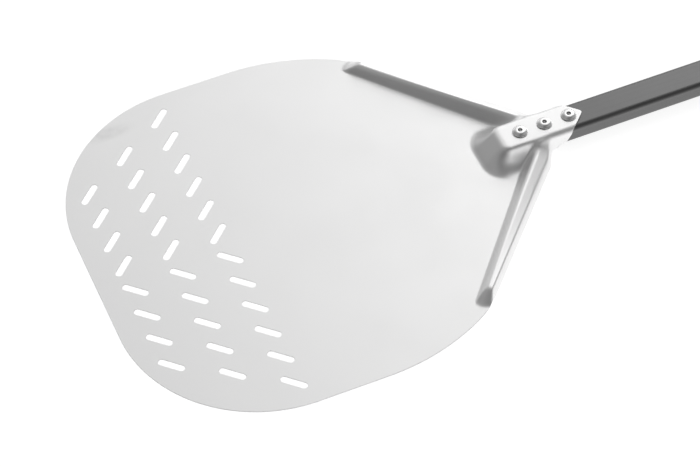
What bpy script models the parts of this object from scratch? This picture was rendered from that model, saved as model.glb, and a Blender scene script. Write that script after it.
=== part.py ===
"""Short-handled pizza peel for outdoor ovens.

A pressed aluminium blade carries a raised sleeve at its neck. A flat-sided tube lies in the
sleeve, level with the underside of the blade, and three large-flange blind rivets hold it.
Bungs close both ends of the tube, and the rear one ends in a hanging eye.

The origin is on the underside of the blade, under the centre of the largest round pizza that
the blade holds. +X runs along the handle, away from the front edge, and +Z is up. Metres.
"""

import math

import bmesh
import bpy
from mathutils import Vector

# Fits between pieces
GAP = 0.0003                    # clearance between two pieces that meet

# Blade outline, seen from above; the two halves mirror each other
BLADE_WIDTH = 0.320
SHEET = 0.0012                  # sheet thickness
FRONT_X = -BLADE_WIDTH / 2      # straight front edge
FRONT_RADIUS = 0.110
SIDE_END_X = 0.003              # where the straight sides start to turn in
REAR_RADIUS = 0.167             # first, wide part of the rear corner
REAR_TURN = math.radians(27.6)
HIP_RADIUS = 0.086              # second, tighter part of the rear corner
TAPER = math.radians(47.2)      # angle of the rear edges to the handle

# Slots, in three rows across the front of the blade
SLOT_PITCH = 0.025
SLOT_LENGTH = 0.0205
SLOT_WIDTH = 0.0050
SLOT_ANGLE = math.radians(44.0)
SLOT_ROWS = (8, 10, 12)         # slots in each row, from the front
FIRST_ROW_X = FRONT_X + 0.0256
ROW_SPACING = 0.037

# Ridges pressed along the two rear edges; heights are above the flat of the blade
RIDGE_WALL_SLOPE = 2.0          # rise over run of the outer wall
RIDGE_WALL_TOP = 0.0062         # height where the wall turns into the sloping top
RIDGE_CREST_OFFSET = 0.0087     # crest, inward from the edge, at the start of the taper
RIDGE_CREST_HEIGHT = 0.0068
RIDGE_FOOT_OFFSET = 0.0152      # inner foot of the ridge
RIDGE_CREST_SPREAD = 0.0345     # growth of each of these per metre towards the neck
RIDGE_CREST_RISE = 0.0376
RIDGE_FOOT_SPREAD = 0.056
RIDGE_MAX_HEIGHT = 0.0125
RIDGE_START = -0.0135           # foot of the ridge's front end, along the taper
RIDGE_END_SLOPE = 0.62
RIDGE_END_AXIS = 0.8            # foremost point of that end, as a share of the crest's offset
RIDGE_END_ROUND = 55.0          # how much the end curves back to either side of it
RIDGE_BLEND = 0.0012

# Handle tube, a flat-sided tube with rounded corners
TUBE_WIDTH = 0.027
TUBE_HEIGHT = 0.014
TUBE_CORNER = 0.005
TUBE_WALL = 0.0015
TUBE_FRONT_X = 0.1665
TUBE_REAR_X = 0.482

# Neck: a hump that rises from the blade and turns into the sleeve over the tube
SLEEVE_CORNER = TUBE_CORNER + GAP + SHEET
SLEEVE_HALF = TUBE_WIDTH / 2 + GAP + SHEET
NECK_RISE = TUBE_HEIGHT + GAP   # height of the sleeve's top above the flat of the blade
NECK_FRONT_X = 0.1600           # front edge of the hump's flat top
NECK_TOP_HALF = 0.0118
NECK_TOP_CORNER = 0.004
NECK_SLOPE = 0.90
NECK_BLEND = 0.0018
NECK_FADE = 0.7                 # share of the hump's height from which the ridge dies out
FLARE_START_X = 0.189           # the rear edges turn into the sides of the sleeve
FLARE_END_X = 0.201
SLEEVE_TIP_X = 0.2285           # point of the sleeve's arrow-shaped end
SLEEVE_TIP_ROUND = 0.0015
SLEEVE_TIP_SWEEP = 1.04         # how fast the end runs forward, per metre across the top
SLEEVE_SIDE_SWEEP = 0.60        # the same, down the sides
SLEEVE_HEEL = 0.0042            # height of the cut-away corner under the sides
SLEEVE_HEEL_SWEEP = 2.2

# Blind rivets; height 0 is the face that the head sits on
RIVET_X = (0.178, 0.198, 0.218)
CAP_RIVET_X = 0.466
RIVET_SHANK = 0.0024            # radius
RIVET_BORE = 0.0015
RIVET_BULB = 0.0036             # radius of the tail formed inside the tube
RIVET_RIM = 0.0006              # height of the head's thin outer edge
RIVET_CHAMFER = 0.0003
RIVET_SHOULDER = 0.72           # height of the head half way down its slope, as a share
NECK_RIVET = {"flange": 0.0059, "crown": 0.0040, "head": 0.0024, "tail": 0.0036}
CAP_RIVET = {"flange": 0.0047, "crown": 0.0026, "head": 0.0014, "tail": 0.0022}
MANDREL_RECESS = 0.0009         # from the top of the rivet down to the broken-off mandrel
MANDREL_HEAD = 0.0014

# Rear cap with the hanging eye
CAP_REAR_X = 0.540
CAP_THIN_X = (0.488, 0.516)     # the cap thins from the tube's height to the tab's
CAP_TAB_HEIGHT = 0.010
CAP_TAB_CORNER = 0.0038
CAP_END_TURN = math.radians(85.0)
CAP_SPIGOT_X = 0.447            # inner end of the hollow spigot inside the tube
CAP_SPIGOT_FLOOR = 0.004        # solid length left between the hollow and the collar
CAP_WALL = 0.0024
EYE_X = 0.5255
EYE_RADIUS = 0.0060
EYE_CHAMFER = 0.0012

# Front bung inside the tube
BUNG_LENGTH = 0.0065
BUNG_FLANGE = 0.0012
BUNG_INSET = 0.0010             # the flange is this much smaller than the tube all round

# Mesh fineness
FRONT_STEPS = 20
REAR_STEPS = 10
HIP_STEPS = 9
SLEEVE_END_STEPS = 4
CORNER_STEPS = 5
RIVET_SEGMENTS = 18
EYE_SEGMENTS = 28
INNER_COLUMNS = 11
RIDGE_BAND = 0.62               # most of a station's half width that the ridge's columns take
RIDGE_MARGIN = 1.1              # the last of them lies past the ridge's foot


# ---------------------------------------------------------------- small helpers

def clear_scene():
    for obj in list(bpy.data.objects):
        bpy.data.objects.remove(obj, do_unlink=True)


def material(name, colour, metallic, roughness):
    """A Principled material, made once and shared by its pieces."""
    mat = bpy.data.materials.get(name) or bpy.data.materials.new(name)
    mat.use_nodes = True
    shader = mat.node_tree.nodes["Principled BSDF"]
    shader.inputs["Base Color"].default_value = (*colour, 1.0)
    shader.inputs["Metallic"].default_value = metallic
    shader.inputs["Roughness"].default_value = roughness
    return mat


def add_object(name, mesh, mat=None):
    obj = bpy.data.objects.new(name, mesh)
    bpy.context.collection.objects.link(obj)
    if mat:
        mesh.materials.append(mat)
    return obj


def mesh_from_faces(name, points, faces, sharp_angle=35.0):
    """A smooth-shaded mesh whose normals point out of the closed shape."""
    bm = bmesh.new()
    verts = [bm.verts.new(p) for p in points]
    for face in faces:
        bm.faces.new([verts[i] for i in face])
    bmesh.ops.recalc_face_normals(bm, faces=bm.faces)
    mesh = bpy.data.meshes.new(name)
    bm.to_mesh(mesh)
    bm.free()
    mesh.shade_smooth()
    mesh.set_sharp_from_angle(angle=math.radians(sharp_angle))
    return mesh


def as_cutter(obj):
    obj.hide_render = True
    obj.display_type = "WIRE"
    return obj


def cut(obj, cutter):
    mod = obj.modifiers.new("cut_" + cutter.name, "BOOLEAN")
    mod.operation = "DIFFERENCE"
    mod.object = cutter


def ring(x, half_width, half_height, corner):
    """Rounded rectangle across the handle at x, anticlockwise seen from +X."""
    points = []
    for quarter in range(4):
        turn = quarter * math.pi / 2
        side_y = (1, -1, -1, 1)[quarter]
        side_z = (1, 1, -1, -1)[quarter]
        for step in range(CORNER_STEPS + 1):
            angle = turn + math.pi / 2 * step / CORNER_STEPS
            y = side_y * (half_width - corner) + corner * math.cos(angle)
            z = side_z * (half_height - corner) + corner * math.sin(angle)
            points.append((x, y, TUBE_HEIGHT / 2 + z))
    return points


def tube_ring(x, inset):
    """The handle tube's outline at x, moved inwards by inset."""
    return ring(x, TUBE_WIDTH / 2 - inset, TUBE_HEIGHT / 2 - inset, TUBE_CORNER - inset)


def bridge(first, second, count):
    """Quads between two rings of count points that start at these indices."""
    return [
        (first + i, first + (i + 1) % count, second + (i + 1) % count, second + i)
        for i in range(count)
    ]


def loft(name, rings, closed_loop=False):
    """A closed mesh through the rings: capped at both ends, or joined end to end."""
    count = len(rings[0])
    points = [p for one in rings for p in one]
    faces = []
    for i in range(len(rings) - 1):
        faces += bridge(i * count, (i + 1) * count, count)
    last = (len(rings) - 1) * count
    if closed_loop:
        faces += bridge(last, 0, count)
    else:
        faces.append(tuple(reversed(range(count))))
        faces.append(tuple(range(last, last + count)))
    return mesh_from_faces(name, points, faces)


def turned(name, profile, segments=RIVET_SEGMENTS, bored=False):
    """A solid of revolution about Z from (radius, height) points that keep off the axis.

    The profile is a closed loop where the solid is bored through; otherwise both its ends
    are capped.
    """
    angles = [2 * math.pi * i / segments for i in range(segments)]
    rings = [
        [(radius * math.cos(a), radius * math.sin(a), height) for a in angles]
        for radius, height in profile
    ]
    return loft(name, rings, closed_loop=bored)


def hole_cutter(name, x, low, high):
    """A rod that cuts a rivet hole through whatever lies between the two heights."""
    radius = RIVET_SHANK + GAP
    cutter = as_cutter(add_object(name, turned(name, [(radius, low), (radius, high)])))
    cutter.location.x = x
    return cutter


# ---------------------------------------------------------------- shape of the pressing

def soft_min(a, b, reach):
    """The lesser of two heights, rounded where they cross."""
    overlap = max(reach - abs(a - b), 0.0) / reach
    return min(a, b) - overlap * overlap * reach / 4


def soft_max(a, b, reach):
    return -soft_min(-a, -b, reach)


def smooth_step(value, low, high):
    t = min(max((value - low) / (high - low), 0.0), 1.0)
    return t * t * (3 - 2 * t)


def arc(start, radius, heading, end_heading, steps):
    """Points after start along an arc; headings turn from +X towards the centre line."""
    points = []
    for i in range(1, steps + 1):
        angle = heading + (end_heading - heading) * i / steps
        x = start[0] + radius * (math.sin(angle) - math.sin(heading))
        y = start[1] + radius * (math.cos(angle) - math.cos(heading))
        points.append((x, y))
    return points


def blade_outline():
    """(x, half width) from the front edge to where the straight rear edge begins."""
    points = [(FRONT_X, BLADE_WIDTH / 2 - FRONT_RADIUS)]
    points += arc(points[0], FRONT_RADIUS, -math.pi / 2, 0.0, FRONT_STEPS)
    points.append((SIDE_END_X, BLADE_WIDTH / 2))
    points += arc(points[-1], REAR_RADIUS, 0.0, REAR_TURN, REAR_STEPS)
    points += arc(points[-1], HIP_RADIUS, REAR_TURN, TAPER, HIP_STEPS)
    return points


TAPER_START = blade_outline()[-1]


def ridge_lines(along):
    """Offset and height of the ridge's crest, and offset of its foot, along the rear edge."""
    crest = RIDGE_CREST_OFFSET + RIDGE_CREST_SPREAD * along
    height = min(RIDGE_CREST_HEIGHT + RIDGE_CREST_RISE * along, RIDGE_MAX_HEIGHT)
    foot = RIDGE_FOOT_OFFSET + RIDGE_FOOT_SPREAD * along
    return crest, height, foot


def ridge_height(x, y):
    """Height of the pressed ridge above the flat of the blade, at a point of the +Y half."""
    dx = x - TAPER_START[0]
    dy = y - TAPER_START[1]
    along = dx * math.cos(TAPER) - dy * math.sin(TAPER)
    inward = -dx * math.sin(TAPER) - dy * math.cos(TAPER)
    crest, height, foot = ridge_lines(along)
    wall_top = RIDGE_WALL_TOP / RIDGE_WALL_SLOPE
    wall = RIDGE_WALL_SLOPE * inward
    top_slope = (height - RIDGE_WALL_TOP) / (crest - wall_top)
    top = RIDGE_WALL_TOP + top_slope * (inward - wall_top)
    inner = soft_max(height * (foot - inward) / (foot - crest), 0.0, RIDGE_BLEND)
    aside = inward - crest * RIDGE_END_AXIS
    end_foot = RIDGE_START + RIDGE_END_ROUND * aside * aside
    end = soft_max(RIDGE_END_SLOPE * (along - end_foot), 0.0, RIDGE_BLEND)
    section = soft_min(soft_min(wall, top, RIDGE_BLEND), inner, RIDGE_BLEND)
    return max(soft_min(section, end, RIDGE_BLEND), 0.0)


def neck_height(x, y):
    """Height of the hump at the neck, from its distance outside its flat top."""
    across = y - (NECK_TOP_HALF - NECK_TOP_CORNER)
    ahead = NECK_FRONT_X + NECK_TOP_CORNER - x
    outside = math.hypot(max(across, 0.0), max(ahead, 0.0))
    distance = outside + min(max(across, ahead), 0.0) - NECK_TOP_CORNER
    slope = soft_min(NECK_RISE - NECK_SLOPE * distance, NECK_RISE, NECK_BLEND)
    return soft_max(slope, 0.0, NECK_BLEND)


def pressed_height(x, y):
    """Ridge and hump run into each other through a rounded valley.

    The ridge fades out where the hump is nearly at its full height.
    """
    neck = neck_height(x, y)
    ridge = ridge_height(x, y) * (1 - smooth_step(neck / NECK_RISE, NECK_FADE, 1.0))
    return (ridge ** 4 + neck ** 4) ** 0.25


SLEEVE_TOP_HALF = SLEEVE_HALF - SLEEVE_CORNER
SLEEVE_ARC = SLEEVE_CORNER * math.pi / 2
SLEEVE_GIRTH = SLEEVE_TOP_HALF + SLEEVE_ARC + NECK_RISE - SLEEVE_CORNER


def sleeve_section(girth):
    """Point of the sleeve's outer section at this distance from the centre line."""
    if girth <= SLEEVE_TOP_HALF:
        return girth, NECK_RISE
    angle = min((girth - SLEEVE_TOP_HALF) / SLEEVE_CORNER, math.pi / 2)
    down = max(girth - SLEEVE_TOP_HALF - SLEEVE_ARC, 0.0)
    y = SLEEVE_TOP_HALF + SLEEVE_CORNER * math.sin(angle)
    return y, NECK_RISE - SLEEVE_CORNER * (1 - math.cos(angle)) - down


def sleeve_end_x(girth):
    """The sleeve's rear edge: a point on top, sweeping forward down both sides."""
    side = SLEEVE_TOP_HALF + SLEEVE_ARC / 2
    heel = SLEEVE_GIRTH - SLEEVE_HEEL
    top = math.hypot(min(girth, side), SLEEVE_TIP_ROUND) - SLEEVE_TIP_ROUND
    x = SLEEVE_TIP_X - SLEEVE_TIP_SWEEP * top
    x -= SLEEVE_SIDE_SWEEP * max(girth - side, 0.0)
    return x - SLEEVE_HEEL_SWEEP * max(girth - heel, 0.0)


def sleeve_girth(y, half_width):
    """Where a point of the blade ends up around the sleeve; the edge meets the sleeve's foot."""
    return y * (1 - y / half_width * (1 - SLEEVE_GIRTH / half_width))


def blade_point(x, y, half_width):
    """Point of the blade's top face; along the flare its section turns into the sleeve's."""
    merge = smooth_step(x, FLARE_START_X, FLARE_END_X)
    sleeve_y, sleeve_z = sleeve_section(sleeve_girth(y, half_width))
    height = pressed_height(x, y)
    return Vector((x, y + merge * (sleeve_y - y), SHEET + height + merge * (sleeve_z - height)))


# ---------------------------------------------------------------- blade

def blade_stations():
    """(x, half width) of the rows of points, from the front edge to the start of the sleeve."""
    stations = blade_outline()
    for end, steps in ((0.140, 5), (0.166, 12), (FLARE_START_X, 8), (FLARE_END_X, 6)):
        start = stations[-1][0]
        for i in range(1, steps + 1):
            x = start + (end - start) * i / steps
            stations.append((x, TAPER_START[1] - (x - TAPER_START[0]) * math.tan(TAPER)))
    return stations


def column_positions(x, half_width):
    """Distances from the centre line of one station's points, out to the edge.

    The outer ones follow the ridge's creases, with a point on either side of each.
    """
    along = max((x - TAPER_START[0]) / math.cos(TAPER), RIDGE_START)
    crest, _, foot = ridge_lines(along)
    wall_top = RIDGE_WALL_TOP / RIDGE_WALL_SLOPE
    offsets = [foot * RIDGE_MARGIN]
    for crease, middle in ((foot, (crest + foot) / 2), (crest, (wall_top + crest) / 2), (wall_top, 0.0)):
        offsets += [crease + RIDGE_BLEND / 2, crease - RIDGE_BLEND / 2, middle]
    scale = min(1 / math.cos(TAPER), RIDGE_BAND * half_width / offsets[0])
    inner = half_width - offsets[0] * scale
    positions = [inner * i / INNER_COLUMNS for i in range(INNER_COLUMNS)]
    return positions + [half_width - offset * scale for offset in offsets]


def split_cell(bm, corners, centre):
    """Two triangles between four corners, split along the diagonal nearer to the centre."""
    first, second, third, fourth = corners
    along = ((first.co + third.co) / 2 - centre).length
    across = ((second.co + fourth.co) / 2 - centre).length
    if along <= across:
        halves = ((first, second, third), (first, third, fourth))
    else:
        halves = ((first, second, fourth), (second, third, fourth))
    for half in halves:
        bm.faces.new(half)


def blade_half():
    """The +Y half of the blade's top face; its flat areas are merged into single faces."""
    bm = bmesh.new()
    stations = [(x, edge, column_positions(x, edge)) for x, edge in blade_stations()]
    grid = [[bm.verts.new(blade_point(x, y, edge)) for y in ys] for x, edge, ys in stations]
    for row in range(len(stations) - 1):
        x, edge, ys = stations[row]
        next_x, next_edge, next_ys = stations[row + 1]
        for i in range(len(ys) - 1):
            y = (ys[i] + ys[i + 1] + next_ys[i] + next_ys[i + 1]) / 4
            centre = blade_point((x + next_x) / 2, y, (edge + next_edge) / 2)
            corners = (grid[row][i], grid[row + 1][i], grid[row + 1][i + 1], grid[row][i + 1])
            split_cell(bm, corners, centre)
    _, edge, ys = stations[-1]
    start = grid[-1]
    for step in range(1, SLEEVE_END_STEPS + 1):
        end_row = []
        for y, vert in zip(ys, start):
            reach = sleeve_end_x(sleeve_girth(y, edge)) - vert.co.x
            end_row.append(bm.verts.new(vert.co + Vector((reach * step / SLEEVE_END_STEPS, 0, 0))))
        for i in range(len(ys) - 1):
            bm.faces.new((grid[-1][i], end_row[i], end_row[i + 1], grid[-1][i + 1]))
        grid.append(end_row)
    bmesh.ops.dissolve_limit(bm, angle_limit=1e-4, verts=bm.verts, edges=bm.edges)
    mesh = bpy.data.meshes.new("blade")
    bm.to_mesh(mesh)
    bm.free()
    return mesh


def slot_outline(x, y, angle):
    """Points of one round-ended slot centred at (x, y), at this angle to the handle."""
    reach = (SLOT_LENGTH - SLOT_WIDTH) / 2
    outline = []
    for end in (1, -1):
        for step in range(CORNER_STEPS + 1):
            turn = math.pi * (step / CORNER_STEPS - 0.5)
            along = end * (reach + SLOT_WIDTH / 2 * math.cos(turn))
            across = end * SLOT_WIDTH / 2 * math.sin(turn)
            outline.append((
                x + along * math.cos(angle) - across * math.sin(angle),
                y + along * math.sin(angle) + across * math.cos(angle),
            ))
    return outline


def slot_cutter():
    """One prism for each slot, all in one cutter; the two halves of a row mirror."""
    bm = bmesh.new()
    for row, count in enumerate(SLOT_ROWS):
        x = FIRST_ROW_X + row * ROW_SPACING
        for i in range(count):
            y = (i - (count - 1) / 2) * SLOT_PITCH
            outline = slot_outline(x, y, math.copysign(SLOT_ANGLE, y))
            bm.faces.new([bm.verts.new((px, py, SHEET * 3)) for px, py in outline])
    down = bmesh.ops.extrude_face_region(bm, geom=bm.faces[:])
    moved = [item for item in down["geom"] if isinstance(item, bmesh.types.BMVert)]
    bmesh.ops.translate(bm, verts=moved, vec=(0, 0, -SHEET * 6))
    bmesh.ops.recalc_face_normals(bm, faces=bm.faces)
    mesh = bpy.data.meshes.new("slot_cutter")
    bm.to_mesh(mesh)
    bm.free()
    return as_cutter(add_object("slot_cutter", mesh))


def make_blade(mat):
    blade = add_object("blade", blade_half(), mat)
    halves = blade.modifiers.new("halves", "MIRROR")
    halves.use_axis = (False, True, False)
    halves.merge_threshold = 0.00001
    solid = blade.modifiers.new("sheet", "SOLIDIFY")
    solid.thickness = SHEET
    solid.offset = -1.0
    solid.use_even_offset = True
    cut(blade, slot_cutter())
    top = SHEET + NECK_RISE
    for number, x in enumerate(RIVET_X):
        cut(blade, hole_cutter(f"sleeve_hole_{number}", x, top - SHEET * 3, top + SHEET * 3))


# ---------------------------------------------------------------- handle and fasteners

def make_tube(mat):
    rings = [
        tube_ring(TUBE_FRONT_X, 0.0),
        tube_ring(TUBE_REAR_X, 0.0),
        tube_ring(TUBE_REAR_X, TUBE_WALL),
        tube_ring(TUBE_FRONT_X, TUBE_WALL),
    ]
    tube = add_object("handle_tube", loft("handle_tube", rings, closed_loop=True), mat)
    low = TUBE_HEIGHT - TUBE_WALL * 2
    for number, x in enumerate((*RIVET_X, CAP_RIVET_X)):
        cut(tube, hole_cutter(f"tube_hole_{number}", x, low, TUBE_HEIGHT + TUBE_WALL))


def rivet_profile(size, grip):
    """Half section of a set rivet, from the bore over the head and down to the tail."""
    head, crown, flange = size["head"], size["crown"], size["flange"]
    low = -grip - size["tail"]
    return [
        (RIVET_BORE, low),
        (RIVET_BORE, head - RIVET_CHAMFER),
        (RIVET_BORE + RIVET_CHAMFER, head),
        (crown, head),
        ((crown + flange) / 2, head * RIVET_SHOULDER),
        (flange, RIVET_RIM),
        (flange, GAP),
        (RIVET_SHANK, GAP),
        (RIVET_SHANK, -grip - GAP),
        (RIVET_BULB, -grip - GAP),
        (RIVET_BULB, (low - grip) / 2),
        (RIVET_SHANK, low),
    ]


def mandrel_profile(size, grip):
    """Broken-off mandrel: a stub in the rivet's bore and its head under the tail."""
    stem = RIVET_BORE - GAP
    top = size["head"] - MANDREL_RECESS
    below = -grip - size["tail"] - GAP
    return [
        (stem / 2, top),
        (stem, top - RIVET_CHAMFER),
        (stem, below),
        (RIVET_SHANK, below),
        (RIVET_SHANK, below - MANDREL_HEAD),
        (stem, below - MANDREL_HEAD - RIVET_CHAMFER),
    ]


def make_rivet(place, x, seat, size, grip, rivet_mat, mandrel_mat):
    """One set rivet and its mandrel, through sheets of the thickness grip under seat."""
    body_mesh = turned(f"{place}_rivet", rivet_profile(size, grip), bored=True)
    pin_mesh = turned(f"{place}_mandrel", mandrel_profile(size, grip), segments=12)
    add_object(f"{place}_rivet", body_mesh, rivet_mat).location = (x, 0, seat)
    add_object(f"{place}_mandrel", pin_mesh, mandrel_mat).location = (x, 0, seat)


def make_bung(mat):
    """Front bung: a flange against the end of the tube and a plug inside it."""
    face = TUBE_FRONT_X - GAP
    rings = [
        tube_ring(face - BUNG_FLANGE, BUNG_INSET),
        tube_ring(face, BUNG_INSET),
        tube_ring(face, TUBE_WALL + GAP),
        tube_ring(face + BUNG_LENGTH, TUBE_WALL + GAP),
    ]
    add_object("front_bung", loft("front_bung", rings), mat)


def cap_ring(x):
    """Section of the rear cap at x: full at the tube, thinner and round-ended at the eye."""
    half = TUBE_WIDTH / 2
    thin = smooth_step(x, *CAP_THIN_X)
    half_height = (TUBE_HEIGHT + thin * (CAP_TAB_HEIGHT - TUBE_HEIGHT)) / 2
    past = max(x - (CAP_REAR_X - half), 0.0)
    half_width = math.sqrt(half * half - past * past)
    corner = TUBE_CORNER + thin * (CAP_TAB_CORNER - TUBE_CORNER)
    return ring(x, half_width, half_height, min(corner, half_width * 0.8))


def eye_cutter():
    """The hanging eye through the tab, with a chamfer at both faces."""
    centre = TUBE_HEIGHT / 2
    edge = CAP_TAB_HEIGHT / 2
    wide = EYE_RADIUS + 2 * EYE_CHAMFER
    profile = [
        (wide, centre - edge - EYE_CHAMFER),
        (EYE_RADIUS, centre - edge + EYE_CHAMFER),
        (EYE_RADIUS, centre + edge - EYE_CHAMFER),
        (wide, centre + edge + EYE_CHAMFER),
    ]
    cutter = as_cutter(add_object("eye_cutter", turned("eye_cutter", profile, EYE_SEGMENTS)))
    cutter.location.x = EYE_X
    return cutter


def make_cap(mat):
    """Rear cap: a hollow spigot in the tube, a flush collar and a tab with the eye."""
    slim = TUBE_WALL + GAP
    start = TUBE_REAR_X + GAP
    rings = [
        tube_ring(start - CAP_SPIGOT_FLOOR, slim + CAP_WALL),
        tube_ring(CAP_SPIGOT_X, slim + CAP_WALL),
        tube_ring(CAP_SPIGOT_X, slim),
        tube_ring(start, slim),
    ]
    round_centre = CAP_REAR_X - TUBE_WIDTH / 2
    thin_start, thin_end = CAP_THIN_X
    stations = [start, *(thin_start + (thin_end - thin_start) * i / 5 for i in range(6))]
    for i in range(7):
        stations.append(round_centre + TUBE_WIDTH / 2 * math.sin(CAP_END_TURN * i / 6))
    rings += [cap_ring(x) for x in stations]
    cap = add_object("rear_cap", loft("rear_cap", rings), mat)
    cut(cap, eye_cutter())
    cut(cap, hole_cutter("cap_hole", CAP_RIVET_X, TUBE_HEIGHT / 2, TUBE_HEIGHT))


def build():
    clear_scene()
    aluminium = material("blade_aluminium", (0.80, 0.80, 0.79), 1.0, 0.42)
    anodised = material("handle_black", (0.035, 0.036, 0.038), 0.7, 0.42)
    cap_plastic = material("cap_plastic", (0.022, 0.022, 0.023), 0.0, 0.55)
    bung_plastic = material("bung_plastic", (0.05, 0.05, 0.05), 0.0, 0.6)
    rivet_metal = material("rivet_aluminium", (0.78, 0.78, 0.78), 1.0, 0.30)
    steel = material("mandrel_steel", (0.30, 0.30, 0.31), 1.0, 0.45)
    make_blade(aluminium)
    make_tube(anodised)
    make_bung(bung_plastic)
    make_cap(cap_plastic)
    neck_grip = SHEET + GAP + TUBE_WALL
    for place, x in zip(("front", "middle", "back"), RIVET_X):
        make_rivet(place, x, SHEET + NECK_RISE, NECK_RIVET, neck_grip, rivet_metal, steel)
    cap_grip = TUBE_WALL + GAP + CAP_WALL
    make_rivet("cap", CAP_RIVET_X, TUBE_HEIGHT, CAP_RIVET, cap_grip, rivet_metal, steel)


build()
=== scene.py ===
"""Looks of the pizza peel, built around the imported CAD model. Metres, +X along the handle, +Z up.

Every visible piece is remade as a finer mesh in the place of its CAD node: the pressed blade,
the handle tube, the rivets and their mandrels, and the two plastic ends.
"""

import math

import bmesh
import bpy
from mathutils import Matrix, Vector


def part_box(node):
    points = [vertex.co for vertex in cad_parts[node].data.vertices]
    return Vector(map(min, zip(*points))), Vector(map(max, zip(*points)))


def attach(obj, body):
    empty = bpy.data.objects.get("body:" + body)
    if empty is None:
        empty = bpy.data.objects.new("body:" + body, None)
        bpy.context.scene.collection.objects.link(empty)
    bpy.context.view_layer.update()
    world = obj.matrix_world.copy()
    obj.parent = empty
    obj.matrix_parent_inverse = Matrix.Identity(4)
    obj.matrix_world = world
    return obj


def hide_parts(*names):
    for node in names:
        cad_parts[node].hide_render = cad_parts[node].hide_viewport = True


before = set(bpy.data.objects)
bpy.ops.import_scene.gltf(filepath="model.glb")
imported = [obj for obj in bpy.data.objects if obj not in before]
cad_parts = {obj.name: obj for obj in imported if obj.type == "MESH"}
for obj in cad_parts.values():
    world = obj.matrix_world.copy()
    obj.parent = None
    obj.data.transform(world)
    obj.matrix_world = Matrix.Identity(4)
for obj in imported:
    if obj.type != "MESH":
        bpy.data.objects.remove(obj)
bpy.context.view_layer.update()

# ---------------------------------------------------------------- sizes

# From the CAD model
BLADE_LOW, BLADE_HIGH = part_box("blade")
TUBE_LOW, TUBE_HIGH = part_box("handle_tube")
CAP_LOW, CAP_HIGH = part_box("rear_cap")
BUNG_LOW, BUNG_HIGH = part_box("front_bung")
GAP = 0.0003                    # clearance between two pieces that meet

# Blade outline
SHEET = 0.0012
BLADE_WIDTH = 2 * BLADE_HIGH.y
FRONT_X = BLADE_LOW.x
FRONT_RADIUS = 0.110
SIDE_END_X = 0.003
REAR_RADIUS = 0.167
REAR_TURN = math.radians(27.6)
HIP_RADIUS = 0.086
TAPER = math.radians(47.2)
EDGE_ROUND = 0.00028            # rounding of every cut edge of the sheet
GRID_START_X = -0.020           # the flat front ahead of this is one face

# Slots
SLOT_PITCH = 0.025
SLOT_LENGTH = 0.0205
SLOT_WIDTH = 0.0050
SLOT_ANGLE = math.radians(44.0)
SLOT_ROWS = (8, 10, 12)
FIRST_ROW_X = FRONT_X + 0.0256
ROW_SPACING = 0.037

# Ridges along the rear edges: a steep wall at the edge, a rising top and an inner flank.
# Offsets are in from the edge where its taper starts; spreads and rises are per metre along it.
RIDGE_WALL_SLOPE = 2.0
RIDGE_WALL_TOP = 0.0062
RIDGE_CREST_OFFSET = 0.0087
RIDGE_CREST_HEIGHT = 0.0068
RIDGE_FOOT_OFFSET = 0.0127
RIDGE_CREST_SPREAD = 0.0345
RIDGE_CREST_RISE = 0.0376
RIDGE_FOOT_SPREAD = 0.056
RIDGE_MAX_HEIGHT = 0.0125
RIDGE_START = -0.0135           # foot of the ridge's forward end, along the edge
RIDGE_END_SLOPE = 0.62
RIDGE_END_AXIS = 0.8            # the end's foremost point, as a share of the crest's offset
RIDGE_END_ROUND = 55.0
RIDGE_BLEND = 0.0014            # how far each bend of the ridge is rounded, as a height
RIDGE_CREST_BLEND = 0.0052
RIDGE_FOOT_BLEND = 0.0016
RIDGE_SOFT_LENGTH = 0.160       # these two blends grow with the cube of the way along it

# Handle tube
TUBE_WIDTH = 2 * TUBE_HIGH.y
TUBE_HEIGHT = TUBE_HIGH.z
TUBE_CORNER = 0.005
TUBE_WALL = 0.0015
TUBE_CHAMFER = 0.0003

# Neck and sleeve
SLEEVE_CORNER = 0.0055          # bent tighter than the tube's corner inside it
SLEEVE_HALF = TUBE_WIDTH / 2 + GAP + SHEET
NECK_RISE = TUBE_HEIGHT + GAP
NECK_FRONT_X = 0.1620
NECK_TOP_HALF = 0.0110
NECK_TOP_CORNER = 0.0036
NECK_SIDE = (math.radians(64), 0.0026, 0.0115)  # slope, radii of the shoulder and hollow
NECK_FRONT = (math.radians(42), 0.0050, 0.0040)
VALLEY_BLEND = 0.0110           # between the neck and a ridge, less where both are low
VALLEY_RISE = 0.004
RIDGE_FADE = 0.82               # share of the neck's height from which a ridge dies out
NECK_TOP_BLEND = 0.0006
FLARE_START_X = 0.189
FLARE_END_X = 0.201
SLEEVE_TIP_X = BLADE_HIGH.x
SLEEVE_TIP_ROUND = 0.0015
SLEEVE_TIP_SWEEP = 1.04         # sweeps are how fast the end draws back along the section
SLEEVE_SIDE_SWEEP = 0.60
SLEEVE_HEEL = 0.0042            # height of the side's lowest part, which draws back fastest
SLEEVE_HEEL_SWEEP = 2.2
SLEEVE_HEEL_X = FLARE_END_X + 0.0008
SLEEVE_HEEL_BLEND = 0.003

# Mesh of the pressing
# Runs of rows up to the sleeve, each as the x where it ends and its number of rows
STATION_RUNS = ((0.140, 26), (0.165, 24), (FLARE_START_X, 48), (FLARE_END_X, 24))
SLEEVE_STEPS = 12
CREASE_REACH = 1.3 * RIDGE_BLEND  # the columns bunch up this far to either side of a crease
CREASE_SPREAD = 2.2             # least distance between foot and crest, in reaches
FOOT_LIMIT = 0.85               # the foot's columns stay within this share of the half width
INNER_COLUMNS = 40
EVEN_COLUMNS_X = (0.150, 0.172) # the mesh's columns spread out evenly between these
SMOOTHED_X = (0.158, 0.170)     # the pressing starts to be relaxed between these
SMOOTHED_END_X = (FLARE_END_X, FLARE_END_X + 0.004)
SMOOTH_PASSES = 12
SMOOTH_SHARE = 0.5

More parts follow.
